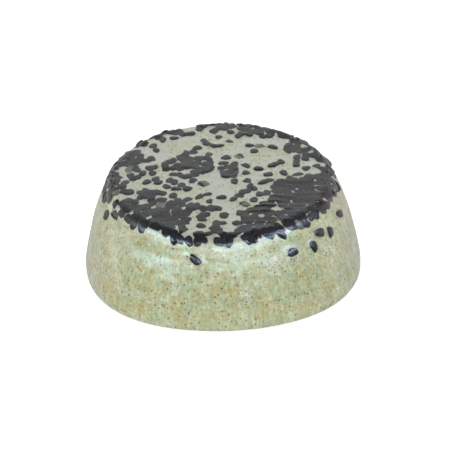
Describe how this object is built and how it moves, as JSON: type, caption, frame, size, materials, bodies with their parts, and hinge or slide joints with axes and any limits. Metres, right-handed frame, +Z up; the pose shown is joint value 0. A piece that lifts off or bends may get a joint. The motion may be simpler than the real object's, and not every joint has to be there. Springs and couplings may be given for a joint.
{
  "type": "shaving soap puck",
  "caption": "Round tapered puck of shaving soap, its small top face pressed full of black seeds, closed in thin clear film; lathers under a wet brush once unwrapped.",
  "frame": {"origin": "middle of the round footprint, on the underside of the film where the puck rests", "axes": "+Z up, through the small seeded face; -Y towards the side where the top face leans down; +X to the right as seen from -Y"},
  "size_m": [0.068, 0.068, 0.025],
  "materials": {
    "soap": "waxy pale sage soap with ochre mottling and fine brown and green herb specks",
    "seed": "near-black, finely wrinkled, softly shining seed coat",
    "seed_bed": "close-packed near-black seeds pressed flush",
    "film": "thin clear wrinkled film"
  },
  "bodies": {
    "root": {"clear_wrap": "film", "seed_bed_back": "seed_bed", "seed_bed_back_left": "seed_bed", "seed_bed_back_right": "seed_bed", "seed_bed_centre": "seed_bed", "seed_bed_centre_left": "seed_bed", "seed_bed_front_centre": "seed_bed", "seed_bed_front_left": "seed_bed", "seed_bed_front_right": "seed_bed", "seed_bed_left": "seed_bed", "seed_bed_right": "seed_bed", "seed_top_01": "seed", "seed_top_02": "seed", "seed_top_03": "seed", "seed_top_04": "seed", "seed_top_05": "seed", "seed_top_06": "seed", "seed_top_07": "seed", "seed_top_08": "seed", "seed_top_09": "seed", "seed_top_10": "seed", "seed_top_11": "seed", "seed_top_12": "seed", "seed_top_13": "seed", "seed_top_14": "seed", "seed_top_15": "seed", "seed_top_16": "seed", "seed_top_17": "seed", "seed_top_18": "seed", "seed_top_19": "seed", "seed_top_20": "seed", "seed_top_21": "seed", "seed_top_22": "seed", "seed_top_23": "seed", "seed_top_24": "seed", "seed_top_25": "seed", "seed_top_26": "seed", "seed_top_27": "seed", "seed_top_28": "seed", "seed_top_29": "seed", "seed_top_30": "seed", "seed_top_31": "seed", "seed_top_32": "seed", "seed_top_33": "seed", "seed_top_34": "seed", "seed_top_35": "seed", "seed_top_36": "seed", "seed_top_37": "seed", "seed_top_38": "seed", "seed_top_39": "seed", "seed_top_40": "seed", "seed_top_41": "seed", "seed_top_42": "seed", "seed_wall_1": "seed", "seed_wall_2": "seed", "seed_wall_3": "seed", "seed_wall_4": "seed", "seed_wall_5": "seed", "soap_body": "soap"}
  },
  "joints": []
}
